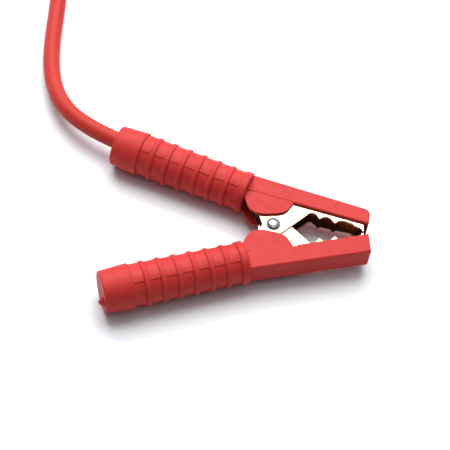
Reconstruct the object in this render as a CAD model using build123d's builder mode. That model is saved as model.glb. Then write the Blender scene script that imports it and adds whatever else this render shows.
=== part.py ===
from build123d import *
import os
from math import cos, pi, radians, sin, tan

# Alligator clip lead: an insulated spring clamp that lies on its side, with a lead out of one handle
# that ends in a ring terminal. Millimetres, +X towards the tips, +Z up. The two halves of the clamp
# are one shape turned over, so each is drawn once, on the plane of its own side.

# ---- driving dimensions: metal parts ----
sheet = 1.1                  # pressed steel of the jaws
cheek_play = 0.10            # gap between the two jaws' cheeks
outer_cheek = 5.25           # half height of the cable jaw, whose cheeks are outside at the pivot
inner_cheek = outer_cheek - sheet - cheek_play
web_depth = 1.85             # the web's outer face, inward of the nose's outer edge
tail_web = 6.5               # and outward of the grip's axis
bend_x = -23.0               # where the web bends from the nose's line to the grip's
tail_end, strip_end = 24.0, 41.0    # ends of the tail's cheeks and of its web, back along the grip
jaw_tip = 50.5
lobe_r = 7.0                 # round end of each cheek, about the pivot
rivet_r, rivet_head_r, rivet_head = 2.75, 3.95, 1.9
running = 0.05               # radial clearance of the lever jaw on the rivet
washer_r, washer_thickness = 4.6, 0.8
spacer_r = 4.0
wire_r, coil_r, coil_pitch = 0.85, 7.5, 1.75
leg_angle, leg_length = 48.7, 38.4     # where a leg leaves the spring's coil, and how far it runs

# ---- driving dimensions: insulating grips ----
nose_angle = 14.96           # outer edge of the nose against the clamp's middle line
nose_tip = (54.3, 14.1)      # outer corner of the nose
nose_half, ear_half = 7.0, 6.75     # half heights of the nose and of the ear beside the pivot
nose_wall = 1.75
lip_start, lip_end = (10.9, 14.4), (53.2, 4.3)    # the nose's lower edge
long_lip = 1.6               # one of the nose's two lips is deeper by this at the tip
long_lip_start = (13.0, 13.9)
tip_inside = 52.6            # inner face of the wall over the tip
fit = 0.05                   # gap between a jaw and its grip
grip_angle = 19.3            # the grip's axis against the clamp's middle line
grip_start = (-19.0, 24.8)   # the grip's axis at the back of the collar
collar_length, collar_r = 4.8, 11.9
bands, band, rib, rib_height = 7, 5.8, 3.2, 1.15
groove_r = (10.75, 11.5)     # radius between the ribs, at the collar and at the end block
block_r, block_end_r, block_round = 12.7, 11.6, 1.0
grip_length = 76.2           # from the collar's back to the grip's end
grip_bore, end_wall = 8.6, 3.0
seam_angle, seam_step = 64.0, 0.3   # where the mould's halves meet, and how far one stands proud
nub_length, nub_r, nub_offset = 2.8, 3.0, 6.0    # moulding gate on the lever grip's end
ribbed = bands * band + (bands - 1) * rib

# ---- driving dimensions: lead ----
cable_r, core_r = 5.0, 2.5
cable_offset = 2.9           # the cable lies outward of the grip's axis, against the jaw's web
crimp_start, crimp_end = 28.0, 38.0
core_start, jacket_start = 27.0, 43.0
coil_middle = (-78.0, 254.0)     # from the pivot
turn_r = (60.0, 41.0)        # largest and smallest turns of the stored coil, which has two layers
tie_thickness, tie_width = 0.8, 11.0
coil_z = tie_thickness + 0.1
sleeve_r, sleeve_back, sleeve_front = 5.6, 9.0, 13.0    # heat-shrink over the cable and the barrel
barrel_r, barrel_bore, barrel_length = 4.1, 2.6, 15.0
palm_r, palm_thickness, palm_reach = 8.0, 2.6, 14.0
stud_hole_r = 4.2            # for an 8 mm stud

# ---- the clamp's planes ----
pivot = Vector(20.2, 0, block_r)    # the origin is under the middle of the clamp
cable_side = Plane(origin=pivot, x_dir=(1, 0, 0), z_dir=(0, 0, 1))
lever_side = Plane(origin=pivot, x_dir=(1, 0, 0), z_dir=(0, 0, -1))
along = Vector(-cos(radians(grip_angle)), sin(radians(grip_angle)))
outward = Vector(sin(radians(grip_angle)), cos(radians(grip_angle)))
nose_inward = Vector(-sin(radians(nose_angle)), -cos(radians(nose_angle)))


def on_grip(back, out):
    """A point of a side's plane, given back along the grip's axis and outward of it."""
    point = Vector(*grip_start) + along * back + outward * out
    return (point.X, point.Y)


def on_nose(x, depth):
    """The point at x of the nose's outer edge moved inward by depth."""
    corner = Vector(*nose_tip) + nose_inward * depth
    return (x, corner.Y - (x - corner.X) * tan(radians(nose_angle)))


def grip_plane(side, out=0):
    """The plane whose x axis runs back along the grip and whose y axis points away from the other grip."""
    start = side.from_local_coords(Vector(*on_grip(0, out)))
    back = side.from_local_coords(Vector(*on_grip(1, out))) - start
    return Plane(origin=start, x_dir=back, z_dir=-side.z_dir)


def round_piece(plane, outline):
    """The solid that an outline of (along, radius) points makes round the plane's x axis."""
    with BuildPart() as turned:
        with BuildSketch(plane):
            with BuildLine():
                Polyline(*outline, close=True)
            make_face()
        revolve(axis=Axis(plane.origin, plane.x_dir))
    return turned.part


def tube_outline(start, end, inner, outer):
    return [(start, inner), (end, inner), (end, outer), (start, outer)]


# ---- pressed jaws ----
def jaw(side, half, hole_r, crimped):
    """A jaw pressed from sheet: a web under the nose's outer edge, two toothed cheeks, and a tail.

    The crimped one holds the cable's core, and one of its cheeks has shallower teeth."""
    with BuildPart() as pressed:
        with BuildSketch(side.offset(-half)):
            with BuildLine():
                Line((4.82, -5.08), (18.6, 7.99))
                ThreePointArc((18.6, 7.99), (21.6, 9.9), (24.6, 7.6))
                Polyline((24.6, 7.6), (25.9, 6.1), (26.9, 7.0))
                ThreePointArc((26.9, 7.0), (29.9, 8.0), (32.6, 6.0))
                Polyline((32.6, 6.0), (34.7, 4.1), (35.9, 5.5))
                ThreePointArc((35.9, 5.5), (38.6, 6.3), (41.6, 5.7))
                Polyline((41.6, 5.7), (44.6, 4.6), (45.6, 2.9), (46.4, 3.7), (47.2, 2.2), (47.9, 3.0),
                         (48.6, 1.6), (49.2, 2.2), (49.6, 0.2), (jaw_tip, 0.2), on_nose(jaw_tip, web_depth),
                         on_nose(bend_x, web_depth), on_grip(tail_end, tail_web), on_grip(tail_end, -2.0),
                         on_grip(tail_end - 6, -5.0), on_grip(-7.5, -5.0), (-10.4, 11.2), (-8.5, 6.4),
                         (-4.27, -5.54))
                ThreePointArc((-4.27, -5.54), (0, -lobe_r), (4.82, -5.08))
            make_face()
        extrude(amount=2 * half, dir=side.z_dir)
        fillet(pressed.edges().filter_by(
            lambda e: e.length > 15 and side.to_local_coords(e @ 0.5).Y > 20
            and abs(abs(side.to_local_coords(e @ 0.5).Z) - half) < 0.01), sheet)
        inside = web_depth + sheet
        with BuildSketch(side.offset(sheet - half)):
            with BuildLine():
                Polyline(on_nose(jaw_tip - sheet, inside), on_nose(bend_x, inside),
                         on_grip(tail_end + 1, tail_web - sheet), on_grip(tail_end + 1, -12), (-30, -12),
                         (jaw_tip - sheet, -12), close=True)
            make_face()
        extrude(amount=2 * (half - sheet), dir=side.z_dir, mode=Mode.SUBTRACT)
        with BuildSketch(side.offset(-half)):
            Circle(hole_r)
        extrude(amount=2 * half, dir=side.z_dir, mode=Mode.SUBTRACT)
        # the web goes on past the cheeks as a strip, which the cable's core is crimped to
        strip_half = half - 1.5
        with BuildSketch(side.offset(-strip_half)):
            with BuildLine():
                Polyline(on_grip(tail_end - 1, tail_web), on_grip(tail_end - 1, tail_web - sheet),
                         on_grip(strip_end, tail_web - sheet), on_grip(strip_end, tail_web), close=True)
            make_face()
        extrude(amount=2 * strip_half, dir=side.z_dir)
        if crimped:
            with BuildSketch(side.offset(-half)):
                with BuildLine():
                    Polyline((22.9, 8.9), (28.2, 6.6), (33.1, 5.9), (37.1, 5.2), (42.8, 4.6), (45.6, 3.8),
                             (45.6, 8.0), (22.9, 12.0), close=True)
                make_face()
            extrude(amount=sheet, dir=side.z_dir)
            add(round_piece(grip_plane(side, cable_offset),
                            tube_outline(crimp_start, crimp_end, core_r + 0.02, core_r + sheet)))
    return pressed.part


with BuildPart() as cable_jaw:
    add(jaw(cable_side, outer_cheek, rivet_r + 0.02, crimped=True))
cable_jaw.part.label = "cable_jaw"

with BuildPart() as lever_jaw:
    add(jaw(lever_side, inner_cheek, rivet_r + running, crimped=False))
lever_jaw.part.label = "lever_jaw"


# ---- moulded grips ----
def groove(back):
    """The grip's radius between the ribs."""
    return groove_r[0] + (groove_r[1] - groove_r[0]) * back / ribbed


def sleeve(plane):
    """The round part of a grip: collar, seven bands with six ribs between them, and end block."""
    with BuildPart() as turned:
        with BuildSketch(plane):
            with BuildLine():
                front = -collar_length
                Polyline((front, 0), (front, collar_r - 0.8), (front + 0.8, collar_r), (-0.6, collar_r),
                         (0, collar_r - 0.6), (0, groove(0)))
                for k in range(bands):
                    left = k * (band + rib)
                    right = left + band
                    Line((left, groove(left)), (right, groove(right)))
                    if k < bands - 1:
                        shoulder = groove(right) + rib_height - 0.4
                        Line((right, groove(right)), (right + 0.3, shoulder))
                        ThreePointArc((right + 0.3, shoulder), (right + rib / 2, shoulder + 0.4),
                                      (right + rib - 0.3, shoulder))
                        Line((right + rib - 0.3, shoulder), (right + rib, groove(right + rib)))
                Polyline((ribbed, groove(ribbed)), (ribbed, block_r - 0.5), (ribbed + 0.5, block_r),
                         (grip_length - block_round, block_end_r))
                on_arc = block_round * (1 - cos(radians(45)))
                ThreePointArc((grip_length - block_round, block_end_r),
                              (grip_length - on_arc, block_end_r - on_arc),
                              (grip_length, block_end_r - block_round))
                Polyline((grip_length, block_end_r - block_round), (grip_length, 0), (front, 0))
            make_face()
        revolve(axis=Axis(plane.origin, plane.x_dir))
    return turned.part


def seam_halves(plane):
    """In each band the upper half, above the mould's seam, stands a little proud."""
    tilt = radians(seam_angle)
    upper = 1 if plane.z_dir.Z > 0 else -1
    seam = Plane(plane.origin, x_dir=plane.x_dir, z_dir=plane.z_dir * cos(tilt) - plane.y_dir * sin(tilt))
    with BuildPart() as halves:
        for k in range(bands):
            left, right = k * (band + rib) - 0.2, k * (band + rib) + band + 0.2
            top = groove(left + band / 2) + seam_step
            with BuildSketch(seam):
                with BuildLine():
                    Polyline((left, 9.5), (right, 9.5), (right, top), (left, top), close=True)
                make_face()
            revolve(axis=Axis(plane.origin, plane.x_dir * upper), revolution_arc=180)
    return halves.part


def grip(side, channel_half, pocket_r, tip_round):
    """An insulating grip: a ribbed sleeve that runs on into a channel over the jaw's nose."""
    plane = grip_plane(side)

    def middle(edge):
        return side.to_local_coords(edge @ 0.5)

    with BuildPart() as moulding:
        with BuildSketch(side.offset(-nose_half)):
            with BuildLine():
                Polyline(nose_tip, on_nose(-12.3, 0), on_grip(-2, 8.6), on_grip(-2, -3), lip_start,
                         lip_end, close=True)
            make_face()
        extrude(amount=2 * nose_half, dir=side.z_dir)
        fillet(moulding.edges().filter_by(lambda e: abs(middle(e).Z) < 0.1 and middle(e).X > 54), tip_round)
        fillet(moulding.edges().filter_by(lambda e: abs(middle(e).Z) < 0.1 and middle(e).X > 53
                                          and middle(e).Y < 6), 1.0)
        fillet(moulding.edges().filter_by(
            lambda e: abs(abs(middle(e).Z) - nose_half) < 0.01 and middle(e).Y > 10 and middle(e).X > 15
            or abs(abs(middle(e).Z) - nose_half) < 0.01 and middle(e).X > 52.5), 1.2)
        with BuildSketch(side.offset(-nose_half)):
            with BuildLine():
                Polyline(long_lip_start, (lip_end[0] - 0.35, lip_end[1] - long_lip),
                         (lip_end[0], lip_end[1] + 2), (long_lip_start[0], 17.0), close=True)
            make_face()
        extrude(amount=nose_half - channel_half + 1, dir=side.z_dir)
        # ears beside the pivot
        with BuildSketch(side.offset(-ear_half)):
            with BuildLine():
                Line(lip_start, (8.6, 10.6))
                Spline((8.6, 10.6), (5.0, 7.4), (0.0, 6.15), (-9.1, 5.8), (-12.9, 7.6), (-15.0, 10.9),
                       (-16.6, 15.5))
                Polyline((-16.6, 15.5), on_grip(-3, -4), (0, 21), lip_start)
            make_face()
        extrude(amount=2 * ear_half, dir=side.z_dir)
        add(sleeve(plane))
        add(seam_halves(plane))
        # room for the jaw: the channel is open towards the other jaw
        with BuildSketch(side.offset(-channel_half)):
            with BuildLine():
                Polyline(on_nose(tip_inside, nose_wall), on_nose(bend_x, nose_wall), on_grip(2, 6.6),
                         on_grip(2, -5.2), on_grip(-collar_length, -5.2), on_grip(-collar_length, -26),
                         (tip_inside, -14), close=True)
            make_face()
        extrude(amount=2 * channel_half, dir=side.z_dir, mode=Mode.SUBTRACT)
        bore = tube_outline(0, grip_length - end_wall, 0, grip_bore)
        add(round_piece(plane, bore), mode=Mode.SUBTRACT)
        if pocket_r:
            with BuildSketch(side.offset(-outer_cheek - 0.2)):
                Circle(pocket_r)
            extrude(amount=2 * (outer_cheek + 0.2), dir=side.z_dir, mode=Mode.SUBTRACT)
    return moulding.part


with BuildPart() as cable_grip:
    add(grip(cable_side, outer_cheek + fit, pocket_r=0, tip_round=3.4))
    hole = tube_outline(grip_length - end_wall - 1, grip_length + 1, 0, cable_r + 0.02)
    add(round_piece(grip_plane(cable_side, cable_offset), hole), mode=Mode.SUBTRACT)
cable_grip.part.label = "cable_grip"

with BuildPart() as lever_grip:
    add(grip(lever_side, inner_cheek + fit, pocket_r=lobe_r + 0.8, tip_round=1.0))
    nub = [(grip_length - 0.5, 0), (grip_length + nub_length, 0), (grip_length + nub_length, 0.7),
           (grip_length + nub_length / 2, nub_r - 0.8), (grip_length, nub_r), (grip_length - 0.5, nub_r)]
    add(round_piece(grip_plane(lever_side, nub_offset), nub))
lever_grip.part.label = "lever_grip"

# ---- pivot: rivet, washer, spacer and torsion spring ----
upright = Plane(origin=pivot, x_dir=(0, 0, 1), z_dir=(0, 1, 0))

with BuildPart() as pivot_rivet:
    with BuildSketch(upright):
        with BuildLine():
            below = -outer_cheek - washer_thickness
            Polyline((outer_cheek, rivet_head_r - 0.35), (outer_cheek, rivet_r), (below, rivet_r),
                     (below, rivet_r + 0.9), (below - 0.9, rivet_r + 0.5), (below - 1.1, 0),
                     (outer_cheek + rivet_head, 0))
            ThreePointArc((outer_cheek + rivet_head, 0), (outer_cheek + 1.35, 2.5),
                          (outer_cheek + 0.35, rivet_head_r))
            Line((outer_cheek + 0.35, rivet_head_r), (outer_cheek, rivet_head_r - 0.35))
        make_face()
    revolve(axis=Axis(pivot, (0, 0, 1)))
pivot_rivet.part.label = "pivot_rivet"

with BuildPart() as rivet_washer:
    add(round_piece(upright, tube_outline(-outer_cheek - washer_thickness, -outer_cheek,
                                          rivet_r + 0.05, washer_r)))
    chamfer(rivet_washer.edges().group_by(Axis.Z)[0].sort_by(SortBy.RADIUS)[-1:], 0.25)
rivet_washer.part.label = "rivet_washer"

gap_half = inner_cheek - sheet
with BuildPart() as pivot_spacer:
    add(round_piece(upright, tube_outline(0.05 - gap_half, gap_half - 0.05, rivet_r + 0.05, spacer_r)))
pivot_spacer.part.label = "pivot_spacer"

leg_turn = radians(leg_angle)
wound = 720 + 2 * leg_angle
coil_height = coil_pitch * wound / 360
with BuildPart() as torsion_spring:
    start = Plane(origin=pivot - Vector(0, 0, coil_height / 2), x_dir=(cos(leg_turn), -sin(leg_turn), 0),
                  z_dir=(0, 0, 1))
    with BuildLine(start) as coil_line:
        Helix(pitch=coil_pitch, height=coil_height, radius=coil_r)
    with BuildSketch(Plane(origin=coil_line.line @ 0, z_dir=coil_line.line % 0)):
        Circle(wire_r)
    sweep(path=coil_line.line, is_frenet=True)
    for level in (-1, 1):
        root = pivot + Vector(coil_r * cos(leg_turn), level * coil_r * sin(leg_turn), level * coil_height / 2)
        heading = Vector(-sin(leg_turn), level * cos(leg_turn), 0)
        with BuildSketch(Plane(origin=root, z_dir=heading)):
            Circle(wire_r)
        extrude(amount=leg_length)
        with Locations(root, root + heading * leg_length):
            Sphere(wire_r)
torsion_spring.part.label = "torsion_spring"

# ---- the cable inside its grip ----
cable_line = grip_plane(cable_side, cable_offset)
with BuildPart() as cable_core:
    add(round_piece(cable_line, tube_outline(core_start, grip_length, 0, core_r)))
cable_core.part.label = "cable_core"

with BuildPart() as cable_jacket:
    add(round_piece(cable_line, tube_outline(jacket_start, grip_length, core_r + 0.02, cable_r)))
cable_jacket.part.label = "cable_jacket"

# ---- the free lead: from the grip down to the table, along it, and into a stored coil ----
lead_route = [
    (*on_grip(grip_length, cable_offset), block_r), (*on_grip(grip_length + 9, cable_offset), block_r),
    (-109.6, 60.9, 12.4), (-119.9, 69.0, 11.6), (-128.2, 80.2, 10.3), (-134.0, 95.0, 8.7),
    (-137.3, 111.7, 7.1), (-138.8, 131.5, 5.9), (-138.8, 156.0, 5.3), (-138.9, 183.0, 5.2),
    (-138.2, 207.5, 5.5), (-138.0, 229.0, 6.0)]
tail_polar = [(162, 65.1, 16.1), (145.4, 70.3, 14.9), (130, 75.3, 11.8), (115.6, 79.7, 8.5),
              (101.6, 82.9, 5.8), (88, 84.7, 5.8)]
tail_route = [(coil_middle[0] + r * cos(radians(a)), coil_middle[1] + r * sin(radians(a)), z)
              for a, r, z in tail_polar]


def rounded_path(route):
    """Straight runs joined by arcs, each as large as its two runs allow, and the arcs' radii."""
    points = [Vector(*p) + Vector(pivot.X, 0, 0) for p in route]
    radii = []
    for before, here, after in zip(points, points[1:], points[2:]):
        turn = (here - before).get_angle(after - here)
        radii.append(0.45 * min((here - before).length, (after - here).length) / tan(radians(turn / 2)))
    return points, radii


def cable_tube(route):
    points, radii = rounded_path(route)
    with BuildPart() as tube:
        with BuildLine() as path:
            FilletPolyline(*points, radius=radii)
        with BuildSketch(Plane(origin=points[0], z_dir=points[1] - points[0])):
            Circle(cable_r)
        sweep(path=path.line)
    length = sum(edge.length for edge in path.line.edges())
    print("arc radii", [round(r) for r in radii], "length", round(length, 1),
          "volume ratio", round(tube.part.volume / (pi * cable_r ** 2 * length), 4))
    return tube.part


with BuildPart() as lead_run:
    add(cable_tube(lead_route))
lead_run.part.label = "lead_run"

with BuildPart() as lead_tail:
    add(cable_tube(tail_route))
lead_tail.part.label = "lead_tail"

coil_axis = Plane(origin=(pivot.X + coil_middle[0], coil_middle[1], coil_z), x_dir=(1, 0, 0),
                  z_dir=(0, -1, 0))
coil_mean = sum(turn_r) / 2
coil_wide, coil_high = turn_r[0] - turn_r[1] + 2 * cable_r + 0.2, 4 * cable_r + 0.1
with BuildPart() as lead_coil:
    with BuildSketch(coil_axis):
        with Locations((coil_mean, coil_high / 2)):
            RectangleRounded(coil_wide, coil_high, cable_r - 0.1)
    revolve(axis=Axis(coil_axis.origin, (0, 0, 1)))
lead_coil.part.label = "lead_coil"


def coil_tie(angle):
    """A flat strap round the coil's bundle of turns, where the coil's middle circle is at angle."""
    tangent = Vector(-sin(radians(angle)), cos(radians(angle)), 0)
    middle = coil_axis.origin + Vector(cos(radians(angle)), sin(radians(angle)), 0) * coil_mean
    start = Plane(origin=middle + Vector(0, 0, coil_high / 2) - tangent * tie_width / 2, z_dir=tangent,
                  x_dir=(0, 0, 1))
    inner_high, inner_wide = coil_high + 0.1, coil_wide + 1.0
    with BuildPart() as strap:
        with BuildSketch(start):
            RectangleRounded(inner_high + 2 * tie_thickness, inner_wide + 2 * tie_thickness, cable_r)
            RectangleRounded(inner_high, inner_wide, cable_r - tie_thickness, mode=Mode.SUBTRACT)
        extrude(amount=tie_width)
    return strap.part


with BuildPart() as near_tie:
    add(coil_tie(242))
near_tie.part.label = "near_tie"

with BuildPart() as far_tie:
    add(coil_tie(62))
far_tie.part.label = "far_tie"

# ---- ring terminal on the lead's far end ----
tail_points, _ = rounded_path(tail_route)
heading = tail_points[-1] - tail_points[-2]
lug = Plane(origin=tail_points[-1], x_dir=Vector(heading.X, heading.Y, 0), z_dir=(0, 0, 1))
with BuildPart() as terminal_core:
    add(round_piece(lug, tube_outline(0.05, barrel_length - 1, 0, barrel_bore - 0.02)))
terminal_core.part.label = "terminal_core"

with BuildPart() as ring_terminal:
    add(round_piece(lug, tube_outline(0.3, barrel_length, barrel_bore, barrel_r)))
    # the barrel's front flattens into the palm
    barrel_front = lug.from_local_coords((barrel_length - 0.2, 0, 0))
    with BuildSketch(Plane(origin=barrel_front, x_dir=lug.y_dir, z_dir=lug.x_dir)):
        RectangleRounded(2 * barrel_r - 0.6, 2 * barrel_r - 0.6, barrel_r - 0.8)
    palm_back = lug.from_local_coords((barrel_length + 6, 0, palm_thickness / 2 - barrel_r))
    with BuildSketch(Plane(origin=palm_back, x_dir=lug.y_dir, z_dir=lug.x_dir)):
        RectangleRounded(2 * palm_r - 2, palm_thickness, palm_thickness / 2 - 0.1)
    loft()
    hole_x = barrel_length + palm_reach
    with BuildSketch(lug.offset(-barrel_r)):
        with Locations((hole_x, 0)):
            Circle(palm_r)
        with Locations((hole_x - 5, 0)):
            Rectangle(10, 2 * palm_r - 2.4)
    extrude(amount=palm_thickness)
    with BuildSketch(lug.offset(-barrel_r)):
        with Locations((hole_x, 0)):
            Circle(stud_hole_r)
    extrude(amount=palm_thickness, mode=Mode.SUBTRACT)
ring_terminal.part.label = "ring_terminal"
print("stud hole at", lug.from_local_coords((hole_x, 0, palm_thickness / 2 - barrel_r)))

with BuildPart() as terminal_sleeve:
    add(round_piece(lug, tube_outline(-sleeve_back, 0.3, cable_r + 0.05, sleeve_r)))
    add(round_piece(lug, [(0.3, barrel_r + 0.05), (0.3, sleeve_r), (1.5, sleeve_r), (3.0, sleeve_r - 0.4),
                          (sleeve_front, barrel_r + 0.55), (sleeve_front, barrel_r + 0.05)]))
terminal_sleeve.part.label = "terminal_sleeve"

# ---- write each piece ----
os.makedirs("parts", exist_ok=True)
pieces = [cable_jaw, lever_jaw, cable_grip, lever_grip, pivot_rivet, rivet_washer, pivot_spacer,
          torsion_spring, cable_core, cable_jacket, lead_run, lead_coil, near_tie, far_tie, lead_tail,
          terminal_core, ring_terminal, terminal_sleeve]
for piece in pieces:
    export_step(piece.part, f"parts/{piece.part.label}.step")
    print(piece.part.label, "valid" if piece.part.is_valid else "broken", len(piece.part.solids()), "solid")
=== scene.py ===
import math

import bpy
from mathutils import Matrix, Vector


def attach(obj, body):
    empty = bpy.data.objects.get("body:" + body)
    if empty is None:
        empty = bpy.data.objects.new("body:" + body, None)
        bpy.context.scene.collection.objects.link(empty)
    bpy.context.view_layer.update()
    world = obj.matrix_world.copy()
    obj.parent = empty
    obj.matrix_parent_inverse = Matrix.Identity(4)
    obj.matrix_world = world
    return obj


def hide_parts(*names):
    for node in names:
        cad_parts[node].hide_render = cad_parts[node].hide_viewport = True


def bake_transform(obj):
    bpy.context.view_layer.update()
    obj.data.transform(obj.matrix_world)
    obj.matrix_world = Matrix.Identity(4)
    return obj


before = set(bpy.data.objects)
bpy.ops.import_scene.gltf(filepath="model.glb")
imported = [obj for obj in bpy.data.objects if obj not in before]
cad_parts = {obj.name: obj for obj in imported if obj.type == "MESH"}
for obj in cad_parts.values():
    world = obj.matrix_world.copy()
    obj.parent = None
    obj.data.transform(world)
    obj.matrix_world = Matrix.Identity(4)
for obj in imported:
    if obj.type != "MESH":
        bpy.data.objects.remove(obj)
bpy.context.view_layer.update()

# ---- sizes, in metres ----
PIVOT = Vector((0.0202, 0, 0.0127))      # the clamp's pivot, at the height of its middle plane
CABLE_D = 0.010


def add_object(name, data):
    made = bpy.data.objects.new(name, data)
    bpy.context.collection.objects.link(made)
    return made


# ---- camera ----
def make_camera():
    """A long lens, high in front of the clamp, rolled a little."""
    elevation, azimuth, roll = math.radians(54.97), math.radians(4.23), math.radians(8.15)
    distance, look_at = 0.788, PIVOT + Vector((-0.0264, 0.0022, -0.0027))
    forward = Vector((math.sin(azimuth) * math.cos(elevation), math.cos(azimuth) * math.cos(elevation),
                      -math.sin(elevation)))
    level = Vector((math.cos(azimuth), -math.sin(azimuth), 0))
    right = level * math.cos(roll) + level.cross(forward) * math.sin(roll)
    up = right.cross(forward)
    data = bpy.data.cameras.new("camera")
    data.lens, data.sensor_width = 112.8, 36
    data.clip_start, data.clip_end = 0.05, 20
    camera = add_object("camera", data)
    camera.matrix_world = Matrix.Translation(look_at - forward * distance) @ Matrix(
        (right, up, -forward)).transposed().to_4x4()
    bpy.context.scene.camera = camera


make_camera()

# ---- the lead's centreline, in millimetres ----
# from the grip, down to the table and along it to the coil: x and y from the pivot, z from the table
LEAD_ROUTE = [
    (-90.0, 52.7, 12.7), (-98.7, 56.3, 12.8), (-109.3, 62.4, 12.6), (-119.4, 70.4, 11.9),
    (-127.6, 81.7, 10.7), (-133.0, 96.2, 9.1), (-136.0, 112.3, 7.5), (-137.4, 131.5, 6.1),
    (-137.5, 156.0, 5.3), (-138.2, 183.0, 5.2), (-138.0, 207.5, 5.5), (-138.0, 229.0, 6.0)]
COIL_X, COIL_Y = -78.0, 254.0
COIL_TURNS = 4
# off the coil to the terminal: degrees round the coil's middle, distance from it, z
TAIL_POLAR = [(162, 65.1, 16.1), (145.4, 70.3, 14.9), (130, 75.3, 11.8), (115.6, 79.7, 8.5),
              (101.6, 82.9, 5.8), (88, 84.7, 5.8)]


def table_point(x, y, z):
    return Vector((PIVOT.x + x / 1000, y / 1000, z / 1000))


def coil_place(radius, angle, z):
    return table_point(COIL_X + radius * math.cos(angle), COIL_Y + radius * math.sin(angle), z)


def coil_point(turn):
    """The coil's radius, angle and z: it spirals inward on the table, climbs, and spirals outward on top."""
    largest, smallest, low, high = 60.0, 41.0, 6.0, 16.0
    spiral, climb = 1.85, 0.3            # in turns
    climbed = min(max((turn - spiral) / climb, 0), 1)
    if turn < spiral:
        radius = largest + (smallest - largest) * turn / spiral
    else:
        radius = smallest + (largest - smallest) * max(turn - spiral - climb, 0) / spiral
    z = low + (high - low) * (1 - math.cos(math.pi * climbed)) / 2
    angle = math.pi * (1 - 2 * turn)
    return radius, angle, z


def lead_points():
    """Control points of the whole lead. The spline runs inside its control polygon, so on the coil they
    lie further out."""
    per_turn = 24
    outset = 1 / math.cos(math.pi / per_turn)
    points = [table_point(*p) for p in LEAD_ROUTE]
    for k in range(-1, COIL_TURNS * per_turn):
        radius, angle, z = coil_point(k / per_turn)
        points.append(coil_place(radius * outset, angle, z))
    for degrees, radius, z in TAIL_POLAR:
        points.append(coil_place(radius, math.radians(degrees), z))
    return points


# ---- straps and lead ----
def make_strap(name, node, degrees):
    """A strap drawn tight round the turns that cross one direction from the coil's middle."""
    width, inner, outer, mean_radius = 11.0, 5.15, 5.9, 50.0
    steps, sides = 4, 64                 # along the coil, and round the turns
    points, faces = [], []
    for step in range(steps + 1):
        angle = math.radians(degrees) + (step / steps - 0.5) * width / mean_radius
        first = (0.5 - angle / (2 * math.pi)) % 1
        turns = [coil_point(first + k)[::2] for k in range(COIL_TURNS)]
        for reach in (inner, outer):
            for side in range(sides):
                out, up = math.cos(2 * math.pi * side / sides), math.sin(2 * math.pi * side / sides)
                radius, z = max(turns, key=lambda turn: turn[0] * out + turn[1] * up)
                points.append(coil_place(radius + reach * out, angle, z + reach * up))
    last = 2 * sides * steps
    for side in range(sides):
        other = (side + 1) % sides
        for step in range(steps):
            here, there = 2 * sides * step, 2 * sides * (step + 1)
            faces.append((here + side, there + side, there + other, here + other))
            faces.append((here + sides + other, there + sides + other, there + sides + side,
                          here + sides + side))
        faces.append((side, other, sides + other, sides + side))
        faces.append((last + other, last + side, last + sides + side, last + sides + other))
    data = bpy.data.meshes.new(name)
    data.from_pydata(points, [], faces)
    strap = add_object(name, data)
    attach(strap, "cable_half")
    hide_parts(node)
    return strap


def make_lead():
    data = bpy.data.curves.new("lead", "CURVE")
    data.dimensions = "3D"
    data.bevel_depth, data.bevel_resolution = 1, 8     # each point's radius is the cable's
    data.resolution_u, data.use_fill_caps = 6, True
    spline = data.splines.new("NURBS")
    points = lead_points()
    spline.points.add(len(points) - 1)
    for point, place in zip(spline.points, points):
        point.co = (*place, 1)
        point.radius = CABLE_D / 2
    spline.order_u, spline.use_endpoint_u = 3, True
    lead = add_object("lead", data)
    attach(lead, "cable_half")
    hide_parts("lead_run", "lead_coil", "lead_tail")
    return lead


straps = [make_strap("near_strap", "near_tie", 242), make_strap("far_strap", "far_tie", 62)]
lead = make_lead()


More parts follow.
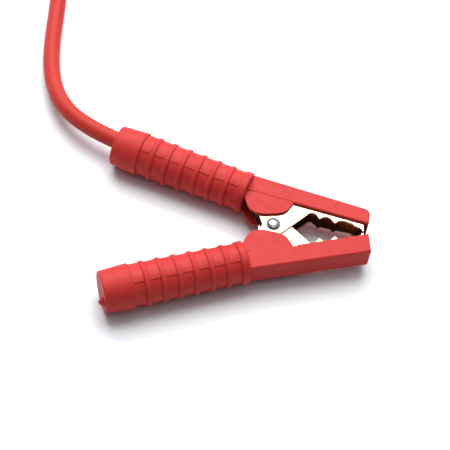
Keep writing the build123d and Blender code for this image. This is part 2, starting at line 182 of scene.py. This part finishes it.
# ---- materials ----
class Nodes:
    """A material's node tree, with short ways to add what these materials need."""

    noise_low, noise_high = 0.3, 0.7     # noise is mostly between these

    def __init__(self, name, roughness, metallic=0.0, gloss=0.5):
        self.material = bpy.data.materials.new(name)
        self.material.use_nodes = True
        self.tree = self.material.node_tree
        self.shader = self.tree.nodes["Principled BSDF"]
        self.shader.inputs["Roughness"].default_value = roughness
        self.shader.inputs["Metallic"].default_value = metallic
        self.shader.inputs["Specular IOR Level"].default_value = gloss
        self.place = self.add("ShaderNodeTexCoord").outputs["Object"]

    def add(self, kind, **values):
        node = self.tree.nodes.new(kind)
        for key, value in values.items():
            setattr(node, key, value)
        return node

    def link(self, source, target):
        self.tree.links.new(source, target)

    def noise(self, scale, detail, stretch=None):
        """Noise with about scale features to the metre."""
        node = self.add("ShaderNodeTexNoise")
        node.inputs["Scale"].default_value = scale
        node.inputs["Detail"].default_value = detail
        place = self.place
        if stretch:
            mapping = self.add("ShaderNodeMapping")
            mapping.inputs["Scale"].default_value = stretch
            self.link(place, mapping.inputs["Vector"])
            place = mapping.outputs["Vector"]
        self.link(place, node.inputs["Vector"])
        return node.outputs["Fac"]

    def colour(self, noise, low, high):
        """The base colour: noise between two colours."""
        node = self.add("ShaderNodeValToRGB")
        elements = node.color_ramp.elements
        for element, position, shade in zip(elements, (self.noise_low, self.noise_high), (low, high)):
            element.position, element.color = position, (*shade, 1)
        self.link(noise, node.inputs["Fac"])
        self.link(node.outputs["Color"], self.shader.inputs["Base Color"])

    def roughness(self, noise, low, high):
        node = self.add("ShaderNodeMapRange")
        node.inputs["From Min"].default_value = self.noise_low
        node.inputs["From Max"].default_value = self.noise_high
        node.inputs["To Min"].default_value = low
        node.inputs["To Max"].default_value = high
        self.link(noise, node.inputs["Value"])
        self.link(node.outputs["Result"], self.shader.inputs["Roughness"])

    def bump(self, layers, edge=None):
        """Bumps one on the other: layers are (height, metres). edge rounds sharp edges by that radius."""
        normal = None
        if edge:
            bevel = self.add("ShaderNodeBevel", samples=4)
            bevel.inputs["Radius"].default_value = edge
            normal = bevel.outputs["Normal"]
        for height, distance in layers:
            node = self.add("ShaderNodeBump")
            node.inputs["Distance"].default_value = distance
            self.link(height, node.inputs["Height"])
            if normal:
                self.link(normal, node.inputs["Normal"])
            normal = node.outputs["Normal"]
        self.link(normal, self.shader.inputs["Normal"])


def soft_pvc():
    """Matt moulded PVC: an even red, a fine mould grain and faint flow marks."""
    m = Nodes("soft_pvc", 0.5, gloss=0.16)
    m.colour(m.noise(55, 4), (0.465, 0.028, 0.025), (0.51, 0.033, 0.029))
    m.roughness(m.noise(240, 4), 0.44, 0.58)
    m.bump([(m.noise(2600, 3), 0.00004), (m.noise(180, 2), 0.00012)], edge=0.0004)
    return m.material


def cable_pvc():
    """Extruded jacket: a little smoother and duller than the grips."""
    m = Nodes("cable_pvc", 0.42, gloss=0.12)
    m.colour(m.noise(40, 3), (0.42, 0.030, 0.022), (0.47, 0.036, 0.027))
    m.roughness(m.noise(160, 4), 0.36, 0.50)
    m.bump([(m.noise(1500, 3), 0.00003), (m.noise(90, 2), 0.0001)])
    return m.material


def copper_plating():
    """Copper plating on pressed sheet: bright, with fine rolling lines and slightly darker patches."""
    m = Nodes("copper_plating", 0.2, metallic=1)
    m.colour(m.noise(120, 4), (0.60, 0.40, 0.26), (0.66, 0.46, 0.31))
    m.roughness(m.noise(300, 4), 0.17, 0.25)
    m.bump([(m.noise(900, 2, stretch=(0.1, 1, 1)), 0.000006)], edge=0.00025)
    return m.material


def bright_zinc():
    """Zinc plating on the spring wire, the rivet, its washer and its spacer: nearly a mirror."""
    m = Nodes("bright_zinc", 0.12, metallic=1)
    m.colour(m.noise(200, 3), (0.46, 0.46, 0.48), (0.60, 0.60, 0.61))
    m.roughness(m.noise(500, 4), 0.08, 0.18)
    m.bump([(m.noise(1800, 2), 0.000015)], edge=0.0002)
    return m.material


def bare_copper():
    """Stranded copper: the strands are fine lines."""
    m = Nodes("bare_copper", 0.3, metallic=1)
    m.colour(m.noise(500, 3), (0.60, 0.26, 0.13), (0.82, 0.42, 0.25))
    m.bump([(m.noise(900, 1, stretch=(0.15, 1, 1)), 0.0001)])
    return m.material


def tinned_copper():
    """Tin plating on the terminal: pale, softly mottled."""
    m = Nodes("tinned_copper", 0.32, metallic=1)
    m.colour(m.noise(260, 5), (0.62, 0.61, 0.58), (0.78, 0.77, 0.74))
    m.roughness(m.noise(420, 4), 0.24, 0.42)
    m.bump([(m.noise(700, 3), 0.00003)], edge=0.0004)
    return m.material


def heat_shrink():
    """Black heat-shrink tube, slightly wrinkled."""
    m = Nodes("heat_shrink", 0.45)
    m.colour(m.noise(120, 3), (0.012, 0.012, 0.013), (0.03, 0.03, 0.032))
    m.roughness(m.noise(300, 3), 0.38, 0.55)
    m.bump([(m.noise(260, 2), 0.0002)], edge=0.0004)
    return m.material


def tie_fabric():
    """Woven strap: two crossed sets of ribs."""
    m = Nodes("tie_fabric", 0.9)
    heights = []
    for direction in ("X", "Z"):
        wave = m.add("ShaderNodeTexWave", bands_direction=direction)
        wave.inputs["Scale"].default_value = 260
        m.link(m.place, wave.inputs["Vector"])
        heights.append((wave.outputs["Fac"], 0.00015))
    m.colour(m.noise(700, 3), (0.012, 0.012, 0.014), (0.045, 0.045, 0.05))
    m.bump(heights)
    m.shader.inputs["Sheen Weight"].default_value = 0.3
    return m.material


def dress(material, *pieces):
    """Gives the material to every slot of the pieces, which are objects or the names of CAD nodes."""
    for piece in pieces:
        piece = bpy.data.objects[piece] if isinstance(piece, str) else piece
        if not piece.material_slots:
            piece.data.materials.append(material)
        for slot in piece.material_slots:
            slot.material = material


dress(soft_pvc(), "cable_grip", "lever_grip")
dress(cable_pvc(), lead, "cable_jacket")
dress(copper_plating(), "cable_jaw", "lever_jaw")
zinc = bright_zinc()
dress(zinc, "pivot_rivet", "rivet_washer", "pivot_spacer")
dress(bare_copper(), "cable_core", "terminal_core")
dress(tinned_copper(), "ring_terminal")
dress(heat_shrink(), "terminal_sleeve")
dress(tie_fabric(), *straps)


# ---- torsion spring ----
def make_spring():
    """The top leg follows the cable jaw, the bottom leg the lever jaw, and the turns wind between them."""
    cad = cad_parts["torsion_spring"]
    spring = add_object("spring_wire", cad.data.copy())
    spring.matrix_world = cad.matrix_world
    dress(zinc, spring)
    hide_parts("torsion_spring")
    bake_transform(spring)


make_spring()


# ---- floor and light ----
def make_floor():
    data = bpy.data.meshes.new("floor")
    reach = 4.0
    corners = [(-reach, -reach, 0), (reach, -reach, 0), (reach, reach, 0), (-reach, reach, 0)]
    data.from_pydata(corners, [], [(0, 1, 2, 3)])
    floor = add_object("floor", data)
    m = Nodes("pale_floor", 0.8)
    m.colour(m.noise(3, 2), (0.80, 0.815, 0.83), (0.82, 0.835, 0.84))
    dress(m.material, floor)


def area_light(name, place, size, watts):
    """A white disk that faces the frame's origin."""
    data = bpy.data.lights.new(name, "AREA")
    data.shape, data.size, data.energy = "DISK", size, watts
    light = add_object(name, data)
    light.location = place
    light.rotation_mode = "QUATERNION"
    light.rotation_quaternion = (-Vector(place)).to_track_quat("-Z", "Y")


def make_world(front, back):
    """A studio that is dim on the -Y side and brighter on the +Y side, both faintly cool."""
    world = bpy.data.worlds.new("studio")
    world.use_nodes = True
    nodes, links = world.node_tree.nodes, world.node_tree.links
    place, parts = nodes.new("ShaderNodeTexCoord"), nodes.new("ShaderNodeSeparateXYZ")
    strength, background = nodes.new("ShaderNodeMapRange"), nodes["Background"]
    for field, value in (("From Min", -0.5), ("From Max", 0.8), ("To Min", front), ("To Max", back)):
        strength.inputs[field].default_value = value
    links.new(place.outputs["Generated"], parts.inputs["Vector"])
    links.new(parts.outputs["Y"], strength.inputs["Value"])
    links.new(strength.outputs["Result"], background.inputs["Strength"])
    background.inputs["Color"].default_value = (0.84, 0.92, 1.0, 1)
    bpy.context.scene.world = world


make_floor()
area_light("softbox", place=(-0.08, 0.62, 1.00), size=1.3, watts=25)
area_light("overhead", place=(0.1, -0.1, 1.5), size=1.6, watts=4)
make_world(front=0.10, back=0.75)
bpy.context.scene.view_settings.view_transform = "Standard"
